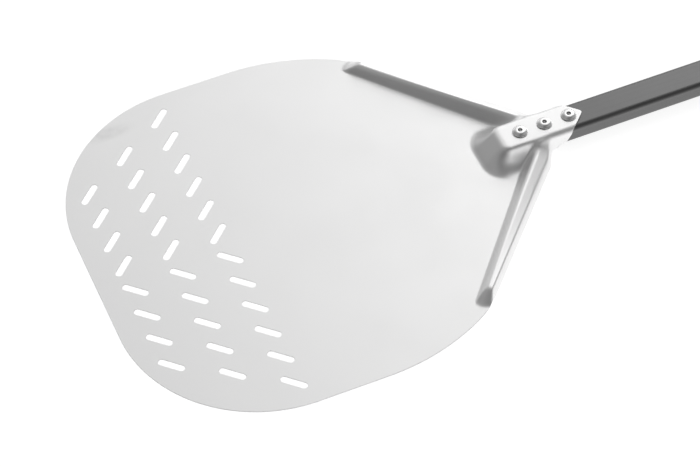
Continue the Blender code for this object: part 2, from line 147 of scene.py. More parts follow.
# Rear cap and front bung
CAP_THIN_X = (0.488, 0.516)
CAP_TAB_HEIGHT = 0.010
CAP_TAB_CORNER = 0.0038
CAP_SPIGOT_FLOOR = 0.004
CAP_WALL = 0.0024
CAP_LIP = 0.0004                # chamfer where the cap meets the tube
CAP_STEPS = 24
CAP_END_STEPS = 20
PARTING_BEAD = 0.00006          # height and half width of the mould's parting line
PARTING_HALF = 0.00022
EYE_X = 0.5255
EYE_RADIUS = 0.0060
EYE_ROUND = 0.0014
BUNG_ROUND = 0.0004
PANEL_BORDER = 0.0022
PANEL_DEPTH = 0.0005

# Rivets
NECK_RIVETS = ("front_rivet", "middle_rivet", "back_rivet")
RIVET_SHANK = 0.0024
RIVET_BORE = 0.0016
RIVET_TAIL = 0.0036             # radius of the tail that setting has swelled
RIVET_EDGE = 0.0003             # rounding of the bore's mouth and of the flange
MANDREL_SUNK = 0.0007           # the broken face lies about this far below the head's top
NECK_RIVET = {"flange": 0.0059, "crown": 0.0040, "head": 0.0024, "tail": 0.0036}
CAP_RIVET = {"flange": 0.0047, "crown": 0.0026, "head": 0.0014, "tail": 0.0022}

# Finishes
SKIN_LEVEL = 0.93               # reflectance
SKIN_ROUGH = 0.38
SCUFF_PLACE = (-0.1015, 0.1395, SHEET)
BLACK_LEVEL = 0.165
BLACK_ROUGH = 0.33
RIVET_LEVEL = 0.92
RIVET_ROUGH = 0.22
FLOOR_GLOW = 0.84

# Studio: azimuth and elevation in degrees, strength and focus of each soft light
FLOOR_LEVEL = -0.0003
FLOOR_HALF = 15.0
SURROUND = 0.11
STUDIO_LIGHTS = (
    (45, 33, 2.80, 20), (100, 34, 0.26, 11), (66, 60, 0.27, 11), (15, 38, 0.10, 11),
    (157, 36, 0.08, 11), (190, 60, 0.22, 11), (337, 36, 0.16, 11), (285, 24, 0.16, 11),
    (48, 6, 0.50, 11), (100, 10, 0.50, 11), (0, 12, 0.12, 11), (150, 12, 0.08, 11),
    (180, 12, 0.08, 11), (282, 2, 1.25, 13), (315, 12, 0.15, 11),
)

# Camera, 2.26 m from the origin
CAMERA_PLACE = (-0.46595, -1.378375, 1.728075)
CAMERA_RIGHT = (0.92245, -0.38437, -0.03670)
CAMERA_AHEAD = (0.21988, 0.60106, -0.76836)
CAMERA_LENS = 157.32


# ---------------------------------------------------------------- mesh helpers

def new_object(name, mesh, *materials):
    """An object in the scene with the mesh, which takes the materials as its slots."""
    obj = bpy.data.objects.new(name, mesh)
    bpy.context.scene.collection.objects.link(obj)
    for mat in materials:
        mesh.materials.append(mat)
    return obj


def bake_modifiers(obj):
    """Replaces the object's mesh by its evaluated mesh and drops the modifiers."""
    graph = bpy.context.evaluated_depsgraph_get()
    result = obj.evaluated_get(graph)
    mesh = bpy.data.meshes.new_from_object(result, preserve_all_data_layers=True, depsgraph=graph)
    obj.modifiers.clear()
    obj.data = mesh
    return obj


def ring(x, half_width, half_height, corner, steps=10):
    """Rounded rectangle across the handle at x, anticlockwise seen from +X."""
    points = []
    for quarter in range(4):
        side_y = (1, -1, -1, 1)[quarter]
        side_z = (1, 1, -1, -1)[quarter]
        for step in range(steps + 1):
            angle = (quarter + step / steps) * math.pi / 2
            y = side_y * (half_width - corner) + corner * math.cos(angle)
            z = side_z * (half_height - corner) + corner * math.sin(angle)
            points.append((x, y, TUBE_HEIGHT / 2 + z))
    return points


def tube_ring(x, inset):
    """The handle tube's outline at x, moved inwards by inset."""
    return ring(x, TUBE_WIDTH / 2 - inset, TUBE_HEIGHT / 2 - inset, TUBE_CORNER - inset)


def loft(name, rings, closed_loop=False, welded_end=False):
    """A smooth-shaded closed mesh through the rings, the last of which may be a folded one."""
    count = len(rings[0])
    bm = bmesh.new()
    rows = [[bm.verts.new(p) for p in one] for one in rings]
    pairs = list(zip(rows, rows[1:]))
    if closed_loop:
        pairs.append((rows[-1], rows[0]))
    for first, second in pairs:
        for i in range(count):
            j = (i + 1) % count
            bm.faces.new((first[i], first[j], second[j], second[i]))
    if not closed_loop:
        bm.faces.new(rows[0])
    if not closed_loop and not welded_end:
        bm.faces.new(rows[-1])
    if welded_end:
        bmesh.ops.remove_doubles(bm, verts=rows[-1], dist=0.000001)
    bmesh.ops.recalc_face_normals(bm, faces=bm.faces)
    mesh = bpy.data.meshes.new(name)
    bm.to_mesh(mesh)
    bm.free()
    mesh.shade_smooth()
    return mesh


def turned(name, profile, segments=64, bored=False):
    """A solid of revolution about Z from (radius, height) points that keep off the axis."""
    angles = [2 * math.pi * i / segments for i in range(segments)]
    rings = [[(r * math.cos(a), r * math.sin(a), z) for a in angles] for r, z in profile]
    return loft(name, rings, closed_loop=bored)


def weighted(obj):
    """Shading normals that follow the large faces, so that flat areas look flat."""
    mod = obj.modifiers.new("normals", "WEIGHTED_NORMAL")
    mod.mode = "FACE_AREA"
    mod.weight = 50
    mod.keep_sharp = True


# ---------------------------------------------------------------- shape of the pressing

def soft_min(a, b, reach):
    """The lesser value, rounded off where the two are within reach of each other."""
    overlap = max(reach - abs(a - b), 0.0) / reach
    return min(a, b) - overlap * overlap * reach / 4


def soft_max(a, b, reach):
    """The greater value, rounded off in the same way."""
    return -soft_min(-a, -b, reach)


def smooth_step(value, low, high):
    """Rises smoothly from 0 at low to 1 at high."""
    t = min(max((value - low) / (high - low), 0.0), 1.0)
    return t * t * (3 - 2 * t)


def arc(start, radius, heading, end_heading, steps):
    """Points after start along an arc of the outline; headings turn from +X towards -Y."""
    points = []
    for i in range(1, steps + 1):
        angle = heading + (end_heading - heading) * i / steps
        x = start[0] + radius * (math.sin(angle) - math.sin(heading))
        y = start[1] + radius * (math.cos(angle) - math.cos(heading))
        points.append((x, y))
    return points


def rear_outline():
    """The outline's points behind the straight side, up to the start of the tapered edge."""
    points = [(SIDE_END_X, BLADE_WIDTH / 2)]
    points += arc(points[0], REAR_RADIUS, 0.0, REAR_TURN, 24)
    points += arc(points[-1], HIP_RADIUS, REAR_TURN, TAPER, 26)
    return points


TAPER_START = rear_outline()[-1]


def ridge_lines(along):
    """Crest offset, crest height and foot offset of a ridge at a place along the taper."""
    crest = RIDGE_CREST_OFFSET + RIDGE_CREST_SPREAD * along
    height = min(RIDGE_CREST_HEIGHT + RIDGE_CREST_RISE * along, RIDGE_MAX_HEIGHT)
    foot = RIDGE_FOOT_OFFSET + RIDGE_FOOT_SPREAD * along
    return crest, height, foot


def ridge_height(x, y):
    """Height of the +Y ridge above the sheet: wall, top and inner flank, and a rounded end."""
    dx = x - TAPER_START[0]
    dy = y - TAPER_START[1]
    along = dx * math.cos(TAPER) - dy * math.sin(TAPER)
    inward = -dx * math.sin(TAPER) - dy * math.cos(TAPER)
    crest, height, foot = ridge_lines(along)
    wall_top = RIDGE_WALL_TOP / RIDGE_WALL_SLOPE
    wall = RIDGE_WALL_SLOPE * inward
    top_slope = (height - RIDGE_WALL_TOP) / (crest - wall_top)
    top = RIDGE_WALL_TOP + top_slope * (inward - wall_top)
    softer = 1 + (max(along, 0.0) / RIDGE_SOFT_LENGTH) ** 3
    inner = height * (foot - inward) / (foot - crest)
    inner = soft_max(inner, 0.0, RIDGE_FOOT_BLEND * softer)
    aside = inward - crest * RIDGE_END_AXIS
    end_foot = RIDGE_START + RIDGE_END_ROUND * aside * aside
    end = soft_max(RIDGE_END_SLOPE * (along - end_foot), 0.0, RIDGE_BLEND)
    section = soft_min(soft_min(wall, top, RIDGE_BLEND), inner, RIDGE_CREST_BLEND * softer)
    return max(soft_min(section, end, RIDGE_BLEND), 0.0)


def flank_fall(distance, turn, crown, foot):
    """Fall of a flank: a round shoulder, a straight slope and a hollow down to the blade."""
    shoulder = crown * math.sin(turn)
    level = 1 - math.cos(turn)
    run = (NECK_RISE - (crown + foot) * level) / math.tan(turn)
    width = shoulder + run + foot * math.sin(turn)
    if distance <= 0:
        return 0.0
    if distance < shoulder:
        return crown - math.sqrt(crown * crown - distance * distance)
    if distance < shoulder + run:
        return crown * level + (distance - shoulder) * math.tan(turn)
    left = max(width - distance, 0.0)
    return NECK_RISE - foot + math.sqrt(foot * foot - left * left)


def neck_height(x, y):
    """The neck's flat top with steep sides and a gentler front."""
    across = max(y - (NECK_TOP_HALF - NECK_TOP_CORNER), 0.0)
    ahead = max(NECK_FRONT_X + NECK_TOP_CORNER - x, 0.0)
    outside = math.hypot(across, ahead)
    if outside <= NECK_TOP_CORNER:
        return NECK_RISE
    distance = outside - NECK_TOP_CORNER
    front = (ahead / outside) ** 2
    side_fall = flank_fall(distance, *NECK_SIDE)
    front_fall = flank_fall(distance, *NECK_FRONT)
    return NECK_RISE - ((1 - front) * side_fall + front * front_fall)


def pressed_height(x, y):
    """Ridge and neck with a wide fillet between them; the ridge dies out at the neck's top."""
    neck = neck_height(x, y)
    kept = 1 - smooth_step(neck / NECK_RISE, RIDGE_FADE, 1)
    ridge = ridge_height(x, y) * kept
    reach = VALLEY_BLEND * (1 - math.exp(-(neck + ridge) / VALLEY_RISE)) * kept
    if reach <= 0:
        return neck
    return soft_min(soft_max(neck, ridge, reach), NECK_RISE, NECK_TOP_BLEND)


SLEEVE_TOP_HALF = SLEEVE_HALF - SLEEVE_CORNER
SLEEVE_ARC = SLEEVE_CORNER * math.pi / 2
SLEEVE_GIRTH = SLEEVE_TOP_HALF + SLEEVE_ARC + NECK_RISE - SLEEVE_CORNER


def sleeve_section(girth):
    """(y, height) on the sleeve's section at a distance round it from the middle of its top."""
    if girth <= SLEEVE_TOP_HALF:
        return girth, NECK_RISE
    angle = min((girth - SLEEVE_TOP_HALF) / SLEEVE_CORNER, math.pi / 2)
    down = max(girth - SLEEVE_TOP_HALF - SLEEVE_ARC, 0.0)
    y = SLEEVE_TOP_HALF + SLEEVE_CORNER * math.sin(angle)
    return y, NECK_RISE - SLEEVE_CORNER * (1 - math.cos(angle)) - down


def sleeve_end_x(girth):
    """Where the sleeve ends: a rounded point on top, sides that slant back to the heel."""
    side = SLEEVE_TOP_HALF + SLEEVE_ARC / 2
    heel = SLEEVE_GIRTH - SLEEVE_HEEL
    top = math.hypot(min(girth, side), SLEEVE_TIP_ROUND) - SLEEVE_TIP_ROUND
    x = SLEEVE_TIP_X - SLEEVE_TIP_SWEEP * top
    x -= SLEEVE_SIDE_SWEEP * max(girth - side, 0.0)
    x -= SLEEVE_HEEL_SWEEP * max(girth - heel, 0.0)
    return soft_max(x, SLEEVE_HEEL_X, SLEEVE_HEEL_BLEND)


def sleeve_girth(y, half_width):
    """Place round the sleeve of a column that is y from the middle of the flat sheet."""
    return y * (1 - y / half_width * (1 - SLEEVE_GIRTH / half_width))


def blade_point(x, y, half_width):
    """Point of the top face, which turns from the pressing's shape into the sleeve's."""
    merge = smooth_step(x, FLARE_START_X, FLARE_END_X)
    sleeve_y, sleeve_z = sleeve_section(sleeve_girth(y, half_width))
    height = pressed_height(x, y)
    return Vector((x, y + merge * (sleeve_y - y), SHEET + height + merge * (sleeve_z - height)))


def blade_stations():
    """(x, half width) of the rows from the end of the straight side to the sleeve."""
    stations = rear_outline()
    for end, steps in STATION_RUNS:
        start = stations[-1][0]
        for i in range(1, steps + 1):
            x = start + (end - start) * i / steps
            stations.append((x, TAPER_START[1] - (x - TAPER_START[0]) * math.tan(TAPER)))
    return stations


def crease_distances(x):
    """Distances along -Y from the rear edge at x to the ridge's foot, crest and wall top."""
    along = max((x - TAPER_START[0]) / math.cos(TAPER), RIDGE_START)
    crest, _, foot = ridge_lines(along)
    wall_top = RIDGE_WALL_TOP / RIDGE_WALL_SLOPE
    foot /= math.cos(TAPER) - RIDGE_FOOT_SPREAD * math.sin(TAPER)
    crest /= math.cos(TAPER) - RIDGE_CREST_SPREAD * math.sin(TAPER)
    return foot, crest, wall_top / math.cos(TAPER)


def column_positions(x, half_width):
    """Distances from the centre line; the outer ones bunch up at the ridge's creases."""
    reach = CREASE_REACH
    foot, crest, wall_top = crease_distances(x)
    foot = min(foot, FOOT_LIMIT * half_width - reach)
    crest = min(crest, foot - CREASE_SPREAD * reach)
    creases = (foot, crest, wall_top, -reach)
    distances = []
    for crease, following in zip(creases, creases[1:]):
        distances += [crease + reach * (1 - i / 4) for i in range(9)]
        start, end = crease - reach, following + reach
        distances += [start + (end - start) * i / 6 for i in range(1, 6)]
    distances.append(0.0)
    inner = half_width - distances[0]
    positions = [inner * i / INNER_COLUMNS for i in range(INNER_COLUMNS)]
    positions += [half_width - distance for distance in distances]
    evening = smooth_step(x, *EVEN_COLUMNS_X)
    last = len(positions) - 1
    return [y + evening * (half_width * i / last - y) for i, y in enumerate(positions)]


def front_line():
    """The outline's front, from the -Y side to the +Y side."""
    corner = arc((FRONT_X, BLADE_WIDTH / 2 - FRONT_RADIUS), FRONT_RADIUS, -math.pi / 2, 0.0, 48)
    corner.insert(0, (FRONT_X, BLADE_WIDTH / 2 - FRONT_RADIUS))
    near = [Vector((x, -y, SHEET)) for x, y in reversed(corner)]
    return near + [Vector((x, y, SHEET)) for x, y in corner]


def blade_rows():
    """The +Y half of the blade's top face as rows of points from the centre line outwards."""
    stations = [(GRID_START_X, BLADE_WIDTH / 2), *blade_stations()]
    rows = []
    for x, edge in stations:
        rows.append([blade_point(x, y, edge) for y in column_positions(x, edge)])
    flare_end, last_edge = stations[-1]
    positions = column_positions(flare_end, last_edge)
    start = rows[-1]
    for step in range(1, SLEEVE_STEPS + 1):
        row = []
        for y, point in zip(positions, start):
            reach = sleeve_end_x(sleeve_girth(y, last_edge)) - point.x
            if step < SLEEVE_STEPS:
                reach = (reach - 2 * EDGE_ROUND) * step / SLEEVE_STEPS
            row.append(point + Vector((reach, 0, 0)))
        rows.append(row)
    return rows


def relaxed(rows):
    """The rows with the folds around the neck eased, as a press would leave them."""
    for _ in range(SMOOTH_PASSES):
        eased = [rows[0]]
        for before, row, after in zip(rows, rows[1:], rows[2:]):
            new = list(row)
            for i in range(1, len(row) - 1):
                mean = (before[i] + after[i] + row[i - 1] + row[i + 1]) / 4
                share = SMOOTH_SHARE * smooth_step(row[i].x, *SMOOTHED_X)
                share *= 1 - smooth_step(row[i].x, *SMOOTHED_END_X)
                new[i] = row[i] + share * (mean - row[i])
            eased.append(new)
        rows = eased + [rows[-1]]
    return rows


def strip(bm, first, second, material=0):
    """A row of faces between two rows of vertices."""
    for i in range(len(first) - 1):
        face = bm.faces.new((first[i], second[i], second[i + 1], first[i + 1]))
        face.material_index = material


def around(front, grid):
    """The border of the sheet, in order: front, +Y side, rear, -Y side."""
    loop = front + [row[-1] for row in grid]
    loop += list(reversed(grid[-1][:-1]))
    return loop + [row[0] for row in reversed(grid[:-1])]


def rounded_rim(bm, upper, lower):
    """Joins the borders of the two faces by a rim whose two edges are rounded."""
    count = len(upper)
    points = [v.co.copy() for v in upper]
    frames = []
    for i, vert in enumerate(upper):
        tangent = (points[(i + 1) % count] - points[i - 1]).normalized()
        frames.append((vert.normal.copy(), vert.normal.cross(tangent).normalized()))
    r = EDGE_ROUND
    turns = [math.radians(a) for a in (30, 60, 90)]
    profile = [(r * (math.sin(a) - 1), -r * (1 - math.cos(a))) for a in turns]
    profile += [(out, -SHEET - down) for out, down in reversed(profile)]
    loops = [upper]
    for out, down in profile:
        loops.append([bm.verts.new(p + out * d + down * n) for p, (n, d) in zip(points, frames)])
    loops.append(lower)
    for vert, other, (_, outward) in zip(upper, lower, frames):
        vert.co -= r * outward
        other.co -= r * outward
    for first, second in zip(loops, loops[1:]):
        strip(bm, second + second[:1], first + first[:1], 1)


def pressed_sheet():
    """The whole blade as a closed sheet: top face, underside and a rim with material 1."""
    rows = []
    for half in blade_rows():
        mirrored = [Vector((p.x, -p.y, p.z)) for p in reversed(half[1:])]
        rows.append(mirrored + half)
    rows = relaxed(rows)
    bm = bmesh.new()
    front = [bm.verts.new(p) for p in front_line()]
    top = [[bm.verts.new(p) for p in row] for row in rows]
    for near, far in zip(top, top[1:]):
        strip(bm, near, far)
    bm.faces.new(top[0] + front[::-1])
    bm.normal_update()
    front_below = [bm.verts.new(v.co - SHEET * v.normal) for v in front]
    below = [[bm.verts.new(v.co - SHEET * v.normal) for v in row] for row in top]
    for near, far in zip(below, below[1:]):
        strip(bm, far, near)
    bm.faces.new(front_below + below[0][::-1])
    rounded_rim(bm, around(front, top), around(front_below, below))
    mesh = bpy.data.meshes.new("blade_pressing")
    bm.to_mesh(mesh)
    bm.free()
    mesh.shade_smooth()
    return mesh


# ---------------------------------------------------------------- blade

def prism_cutter(name, outlines, levels, mat):
    """Prisms through the sheet, one for each outline function of an offset."""
    bm = bmesh.new()
    for outline in outlines:
        rows = [[bm.verts.new((x, y, z)) for x, y in outline(grow)] for z, grow in levels]
        for low, high in zip(rows, rows[1:]):
            count = len(low)
            for i in range(count):
                j = (i + 1) % count
                bm.faces.new((low[i], low[j], high[j], high[i]))
        bm.faces.new(list(reversed(rows[0])))
        bm.faces.new(rows[-1])
    bmesh.ops.recalc_face_normals(bm, faces=bm.faces)
    mesh = bpy.data.meshes.new(name)
    bm.to_mesh(mesh)
    bm.free()
    mesh.shade_smooth()
    return new_object(name, mesh, mat)


def edge_levels(low, high):
    """(height, widening) of a cutter that rounds the edges it makes at both faces."""
    r = EDGE_ROUND
    turns = [math.radians(a) for a in (0, 25, 50, 70)]
    top = [(high - r + r * math.sin(a), r * (1 - math.cos(a))) for a in turns]
    top.append((high + r, 1.8 * r))
    bottom = [(low + high - z, grow) for z, grow in reversed(top)]
    return bottom + top


def slot_outline(x, y, angle, grow):
    """A slot with round ends, widened by grow all round."""
    radius = SLOT_WIDTH / 2 + grow
    reach = (SLOT_LENGTH - SLOT_WIDTH) / 2
    outline = []
    for end in (1, -1):
        for step in range(13):
            turn = math.pi * (step / 12 - 0.5)
            along = end * (reach + radius * math.cos(turn))
            across = end * radius * math.sin(turn)
            outline.append((
                x + along * math.cos(angle) - across * math.sin(angle),
                y + along * math.sin(angle) + across * math.cos(angle),
            ))
    return outline


def slot_outlines():
    """An outline function for each slot; the two sides are mirror images."""
    for row, count in enumerate(SLOT_ROWS):
        x = FIRST_ROW_X + row * ROW_SPACING
        for i in range(count):
            y = (i - (count - 1) / 2) * SLOT_PITCH
            angle = math.copysign(SLOT_ANGLE, y)
            yield lambda grow, x=x, y=y, angle=angle: slot_outline(x, y, angle, grow)


def hole_outline(x, grow):
    """A rivet's hole, widened by grow all round."""
    radius = RIVET_SHANK + GAP + grow
    turns = [2 * math.pi * i / 32 for i in range(32)]
    return [(x + radius * math.cos(a), radius * math.sin(a)) for a in turns]


def make_blade(skin, cut_edge):
    """The pressed sheet with its slots and the rivets' holes."""
    blade = new_object("blade_pressing", pressed_sheet(), skin, cut_edge)
    slots = prism_cutter("slot_cutter", list(slot_outlines()), edge_levels(0.0, SHEET), cut_edge)
    top = SHEET + NECK_RISE
    cut_away(blade, slots, shank_cutter(NECK_RIVETS, top - SHEET, top, cut_edge))
    finish_piece(blade, "blade")


# ---------------------------------------------------------------- handle and fasteners

def rivet_place(name):
    """Centre of a rivet and the height of the face that its head sits on."""
    low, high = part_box(name)
    size = CAP_RIVET if name == "cap_rivet" else NECK_RIVET
    return (low.x + high.x) / 2, 0.0, high.z - size["head"]


def cut_away(obj, *cutters):
    """Subtracts the cutters, which are then dropped, and sets even shading normals."""
    for cutter in cutters:
        mod = obj.modifiers.new("cut", "BOOLEAN")
        mod.object = cutter
    weighted(obj)
    bake_modifiers(obj)
    for cutter in cutters:
        bpy.data.objects.remove(cutter)


def finish_piece(obj, node):
    """Puts the object in the place of its CAD node, on the one rigid body."""
    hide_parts(node)
    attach(obj, "root")


def shank_cutter(names, low, high, mat):
    """Cuts the rivets' holes between two heights."""
    places = [rivet_place(name)[0] for name in names]
    outlines = [lambda grow, x=x: hole_outline(x, grow) for x in places]
    return prism_cutter("hole_cutter", outlines, edge_levels(low, high), mat)


def make_tube(mat):
    """Handle: a bored tube, chamfered at both ends, with its rivets' holes."""
    chamfer = TUBE_CHAMFER
    front, rear = TUBE_LOW.x, TUBE_HIGH.x
    rings = [
        tube_ring(front, chamfer),
        tube_ring(front + chamfer, 0.0),
        tube_ring(rear - chamfer, 0.0),
        tube_ring(rear, chamfer),
        tube_ring(rear, TUBE_WALL - chamfer),
        tube_ring(rear - chamfer, TUBE_WALL),
        tube_ring(front + chamfer, TUBE_WALL),
        tube_ring(front, TUBE_WALL - chamfer),
    ]
    tube = new_object("handle_profile", loft("handle_profile", rings, closed_loop=True), mat)
    wall = TUBE_HEIGHT - TUBE_WALL
    cut_away(tube, shank_cutter((*NECK_RIVETS, "cap_rivet"), wall, TUBE_HEIGHT, mat))
    finish_piece(tube, "handle_tube")


def make_bung(mat):
    """Front bung: a rounded flange with a shallow panel, and a plug inside the tube."""
    face = TUBE_LOW.x - GAP
    front = BUNG_LOW.x
    inset = BUNG_LOW.y - TUBE_LOW.y
    rings = [
        tube_ring(front + PANEL_DEPTH, inset + PANEL_BORDER + PANEL_DEPTH),
        tube_ring(front, inset + PANEL_BORDER),
    ]
    for turn in (0, 30, 60, 90):
        drop = BUNG_ROUND * (1 - math.cos(math.radians(turn)))
        out = BUNG_ROUND * (1 - math.sin(math.radians(turn)))
        rings.append(tube_ring(front + drop, inset + out))
    rings += [
        tube_ring(face, inset),
        tube_ring(face, TUBE_WALL + GAP),
        tube_ring(BUNG_HIGH.x - BUNG_ROUND, TUBE_WALL + GAP),
        tube_ring(BUNG_HIGH.x, TUBE_WALL + GAP + BUNG_ROUND),
    ]
    bung = new_object("bung_moulding", loft("bung_moulding", rings), mat)
    cut_away(bung)
    finish_piece(bung, "front_bung")


def cap_ring(x):
    """Section of the rear cap at x: full at the tube, thinner towards the eye."""
    thin = smooth_step(x, *CAP_THIN_X)
    half_height = (TUBE_HEIGHT + thin * (CAP_TAB_HEIGHT - TUBE_HEIGHT)) / 2
    corner = TUBE_CORNER + thin * (CAP_TAB_CORNER - TUBE_CORNER)
    return with_parting_line(ring(x, TUBE_WIDTH / 2, half_height, corner))


def with_parting_line(points):
    """The section with the mould's parting line, a small bead half way up each side."""
    middle = TUBE_HEIGHT / 2
    within = 1 - PARTING_BEAD / (TUBE_WIDTH / 2)
    result = []
    for i, (x, y, z) in enumerate(points):
        result.append((x, y * within, z))
        ahead = points[(i + 1) % len(points)]
        if (z - middle) * (ahead[2] - middle) >= 0:
            continue
        heading = math.copysign(1.0, ahead[2] - z)
        for up, out in ((-1.0, 0.0), (-0.4, 1.0), (0.4, 1.0), (1.0, 0.0)):
            bead = math.copysign(PARTING_BEAD, y) * out
            result.append((x, y * within + bead, middle + heading * up * PARTING_HALF))
    return result


def round_end(section, centre, share):
    """The section turned about the tab's centre, both halves meeting at the end."""
    turn = share * math.pi / 2
    scale = (CAP_HIGH.x - centre) / (TUBE_WIDTH / 2)
    return [
        (centre + abs(y) * math.sin(turn) * scale, y * math.cos(turn), z)
        for _, y, z in section
    ]


def make_cap(mat):
    """Rear cap: a hollow spigot in the tube, a flush collar and a tab with the eye."""
    slim = TUBE_WALL + GAP
    start = TUBE_HIGH.x + GAP
    # (x, inset) from the spigot's hollow out over its end and back along it to the collar
    places = (
        (start - CAP_SPIGOT_FLOOR, slim + CAP_WALL),
        (CAP_LOW.x, slim + CAP_WALL),
        (CAP_LOW.x, slim),
        (start, slim),
        (start, CAP_LIP),
        (start + CAP_LIP * 0.3, CAP_LIP * 0.3),
        (start + CAP_LIP, 0.0),
    )
    rings = [with_parting_line(tube_ring(x, inset)) for x, inset in places]
    thin_start, thin_end = CAP_THIN_X
    for i in range(CAP_STEPS + 1):
        rings.append(cap_ring(thin_start + (thin_end - thin_start) * i / CAP_STEPS))
    centre = CAP_HIGH.x - TUBE_WIDTH / 2
    section = cap_ring(centre)
    rings += [round_end(section, centre, i / CAP_END_STEPS) for i in range(CAP_END_STEPS + 1)]
    mesh = loft("cap_moulding", rings, welded_end=True)
    cap = new_object("cap_moulding", mesh, mat)
    middle = TUBE_HEIGHT / 2
    edge = CAP_TAB_HEIGHT / 2
    turns = [math.radians(a) for a in (0, 18, 36, 54, 72)]
    r = EYE_ROUND
    upper = [(EYE_RADIUS + r * (1 - math.cos(a)), edge - r + r * math.sin(a)) for a in turns]
    upper.append((EYE_RADIUS + 1.6 * r, edge + r))
    profile = [(radius, middle - z) for radius, z in reversed(upper)]
    profile += [(radius, middle + z) for radius, z in upper]
    eye = new_object("eye_cutter", turned("eye_cutter", profile), mat)
    eye.location.x = EYE_X
    inner = TUBE_HEIGHT - slim
    cut_away(cap, eye, shank_cutter(("cap_rivet",), inner - CAP_WALL, inner, mat))
    finish_piece(cap, "rear_cap")


def arc_points(centre, radius, start, end, steps):
    """Points of a section's arc; angles in degrees, 0 outwards and 90 upwards."""
    turns = [math.radians(start + (end - start) * i / steps) for i in range(steps + 1)]
    return [(centre[0] + radius * math.cos(a), centre[1] + radius * math.sin(a)) for a in turns]


def rivet_profile(size, grip):
    """(radius, height) round a set rivet: bore, crown, flange, shank and swelled tail."""
    head, crown, flange = size["head"], size["crown"], size["flange"]
    low = -grip - size["tail"]
    bore = RIVET_BORE
    r = RIVET_EDGE
    points = [(bore, low), (bore, head - r)]
    points += arc_points((bore + r, head - r), r, 180, 90, 4)[1:]
    # the crown rounds over and slopes down to the thin flange
    points += [(crown - 0.0006, head - 0.00005)]
    points += [(crown, head - 0.0002), (crown + 0.0004, head - 0.00055)]
    points += [((crown + flange) / 2, head * 0.62), (flange - 0.0005, 0.0009)]
    points += arc_points((flange - r, GAP + r), r, 60, -90, 5)
    points += [(RIVET_SHANK, GAP), (RIVET_SHANK, -grip - GAP)]
    points += [(RIVET_TAIL, -grip - GAP), (RIVET_TAIL, (low - grip) / 2), (RIVET_SHANK, low)]
    return points


def mandrel_profile(size, grip):
    """(radius, height) down a mandrel, from its broken face to the head under the tail."""
    stem = RIVET_BORE - GAP / 2
    top = size["head"] - MANDREL_SUNK
    below = -grip - size["tail"] - GAP
    return [
        (0.0003, top + 0.0002),
        (stem * 0.6, top),
        (stem * 0.9, top - 0.0001),
        (stem, top - 0.0004),
        (stem, below),
        (RIVET_SHANK, below),
        (RIVET_SHANK, below - 0.0012),
        (stem, below - 0.0017),
    ]


def make_rivet(place, grip, size, body_mat, pin_mat):
    """A rivet and the mandrel left in it, through pieces that are grip thick together."""
    for kind, profile, mat, slot in (
        ("rivet", rivet_profile(size, grip), body_mat, "rivet_aluminium"),
        ("mandrel", mandrel_profile(size, grip), pin_mat, "mandrel_steel"),
    ):
        name = f"{place}_{kind}"
        mesh = turned(name + "_turned", profile, bored=kind == "rivet")
        piece = new_object(name + "_turned", mesh, mat)
        piece.data.set_sharp_from_angle(angle=math.radians(50))
        piece.location = rivet_place(f"{place}_rivet")
        finish_piece(piece, name)


# ---------------------------------------------------------------- materials

